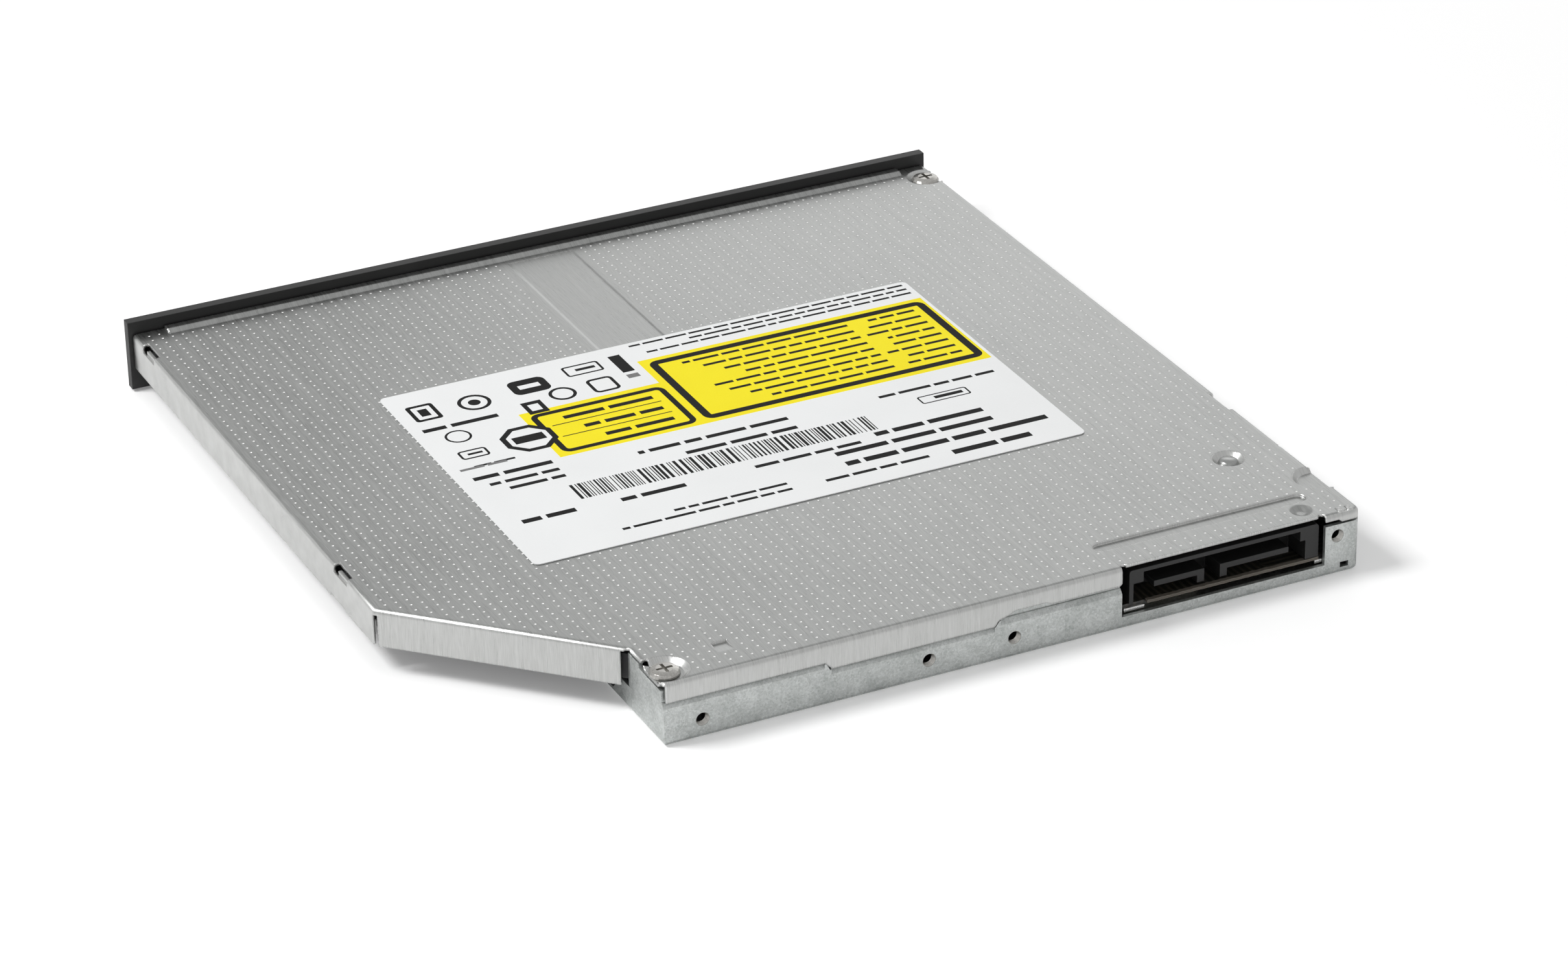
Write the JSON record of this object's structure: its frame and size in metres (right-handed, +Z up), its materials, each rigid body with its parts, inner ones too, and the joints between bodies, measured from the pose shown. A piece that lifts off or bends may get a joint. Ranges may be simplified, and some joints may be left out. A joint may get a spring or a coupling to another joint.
{
  "type": "slim tray-loading optical drive",
  "caption": "Slim internal DVD writer with a sliding disc tray, notched steel case, rear serial-ATA receptacle and black front bezel.",
  "frame": {"origin": "centre of the bounding box in plan, at its lowest face", "axes": "-Y out of the front bezel, +Y out of the receptacle, +Z up, +X towards the notched rear corner"},
  "size_m": [0.128, 0.129, 0.0109],
  "materials": {
    "brushed_steel": "brushed steel with a fine pressed dot pattern",
    "galvanised_steel": "spangled zinc",
    "label_stock": "satin label stock",
    "black_plastic": "fine matt texture",
    "receptacle_plastic": "smooth moulded",
    "nickel_screw": "nickel plated",
    "solder_mask": "solder mask",
    "chip_resin": "moulded resin",
    "socket_nylon": "moulded nylon",
    "flex_film": "polyimide film",
    "damper_rubber": "soft rubber",
    "ground_rod": "ground",
    "lens_glass": "coated",
    "cast_alloy": "die cast",
    "motor_can": "plated",
    "light_guide": "clear"
  },
  "bodies": {
    "chassis": {"top_cover": "brushed_steel", "bottom_chassis": "galvanised_steel", "lock_pin": "nickel_screw", "rating_label": "label_stock", "sata_receptacle": "receptacle_plastic", "connector_board": "solder_mask", "board_screw": "nickel_screw", "rear_flex_socket": "socket_nylon", "flex_cable": "flex_film", "cover_screw_front_right": "nickel_screw", "cover_screw_rear_left": "nickel_screw", "left_outer_rail": "galvanised_steel", "right_outer_rail": "galvanised_steel"},
    "tray_unit": {"tray": "black_plastic", "front_bezel": "black_plastic", "activity_led": "light_guide", "tray_bottom_plate": "galvanised_steel", "plate_screw_1": "nickel_screw", "plate_screw_2": "nickel_screw", "plate_screw_3": "nickel_screw", "plate_screw_4": "nickel_screw", "main_board": "solder_mask", "controller_chip": "chip_resin", "driver_chip": "chip_resin", "memory_chip": "chip_resin", "front_flex_socket": "socket_nylon", "eject_switch": "chip_resin", "traverse_frame": "cast_alloy", "traverse_cover": "black_plastic", "damper_bush_1": "damper_rubber", "damper_bush_2": "damper_rubber", "damper_bush_3": "damper_rubber", "damper_screw_1": "nickel_screw", "damper_screw_2": "nickel_screw", "damper_screw_3": "nickel_screw", "spindle_stator": "motor_can", "guide_rod_main": "ground_rod", "guide_rod_side": "ground_rod", "feed_motor": "motor_can", "lock_solenoid": "motor_can", "lever_pivot": "nickel_screw", "pickup_flex": "flex_film"},
    "left_mid": {"left_mid_rail": "galvanised_steel"},
    "right_mid": {"right_mid_rail": "galvanised_steel"},
    "button": {"eject_button": "black_plastic"},
    "spindle": {"spindle_rotor": "motor_can", "disc_pad": "damper_rubber"},
    "claw_1": {"clamp_claw_1": "socket_nylon"},
    "claw_2": {"clamp_claw_2": "socket_nylon"},
    "claw_3": {"clamp_claw_3": "socket_nylon"},
    "feed_screw": {"lead_screw": "ground_rod"},
    "pickup": {"pickup_sled": "cast_alloy"},
    "lens": {"objective_lens": "lens_glass"},
    "lever": {"lock_lever": "socket_nylon"},
    "plunger": {"solenoid_plunger": "nickel_screw"},
    "pusher": {"kick_pusher": "socket_nylon"}
  },
  "joints": [
    {"name": "tray_slide", "type": "slide", "parent": "chassis", "child": "tray_unit", "axis": [0, -1, 0], "range_m": [0, 0.122], "deforming": ["flex_cable"]},
    {"name": "left_rail_slide", "type": "slide", "parent": "chassis", "child": "left_mid", "axis": [0, -1, 0], "range_m": [0, 0.061]},
    {"name": "right_rail_slide", "type": "slide", "parent": "chassis", "child": "right_mid", "axis": [0, -1, 0], "range_m": [0, 0.061]},
    {"name": "eject_press", "type": "slide", "parent": "tray_unit", "child": "button", "axis": [0, 1, 0], "range_m": [0, 0.0005], "stiffness_N_per_m": 600},
    {"name": "spindle_spin", "type": "hinge", "parent": "tray_unit", "child": "spindle", "pos_m": [0.0013, -0.001, 0.005], "axis": [0, 0, 1], "continuous": true},
    {"name": "claw_1_press", "type": "slide", "parent": "spindle", "child": "claw_1", "axis": [-0.2588, 0.9659, 0], "range_m": [0, 0.0004], "stiffness_N_per_m": 400},
    {"name": "claw_2_press", "type": "slide", "parent": "spindle", "child": "claw_2", "axis": [-0.7071, -0.7071, 0], "range_m": [0, 0.0004], "stiffness_N_per_m": 400},
    {"name": "claw_3_press", "type": "slide", "parent": "spindle", "child": "claw_3", "axis": [0.9659, -0.2588, 0], "range_m": [0, 0.0004], "stiffness_N_per_m": 400},
    {"name": "pickup_feed", "type": "slide", "parent": "tray_unit", "child": "pickup", "axis": [-0.7071, -0.7071, 0], "range_m": [0, 0.0335], "deforming": ["pickup_flex"]},
    {"name": "feed_screw_turn", "type": "hinge", "parent": "tray_unit", "child": "feed_screw", "pos_m": [0.01353, -0.01323, 0.003], "axis": [-0.7071, -0.7071, 0], "range_deg": [0, 4025]},
    {"name": "focus", "type": "slide", "parent": "pickup", "child": "lens", "axis": [0, 0, 1], "range_m": [-0.0003, 0.0003], "stiffness_N_per_m": 60},
    {"name": "lever_turn", "type": "hinge", "parent": "tray_unit", "child": "lever", "pos_m": [0.016, 0.046, 0.0025], "axis": [0, 0, 1], "range_deg": [-10.5, 0]},
    {"name": "plunger_slide", "type": "slide", "parent": "tray_unit", "child": "plunger", "axis": [1, 0, 0], "range_m": [-0.00084, 0]},
    {"name": "pusher_slide", "type": "slide", "parent": "tray_unit", "child": "pusher", "axis": [0, 1, 0], "range_m": [0, 0.009]}
  ],
  "couplings": [
    {"joint": "left_rail_slide", "follows": "tray_slide", "ratio": 0.5},
    {"joint": "right_rail_slide", "follows": "tray_slide", "ratio": 0.5},
    {"joint": "pusher_slide", "follows": "tray_slide", "ratio": 0.0737},
    {"joint": "feed_screw_turn", "follows": "pickup_feed", "rad_per_m": 2094.4},
    {"joint": "lever_turn", "follows": "plunger_slide", "rad_per_m": 217.39}
  ]
}
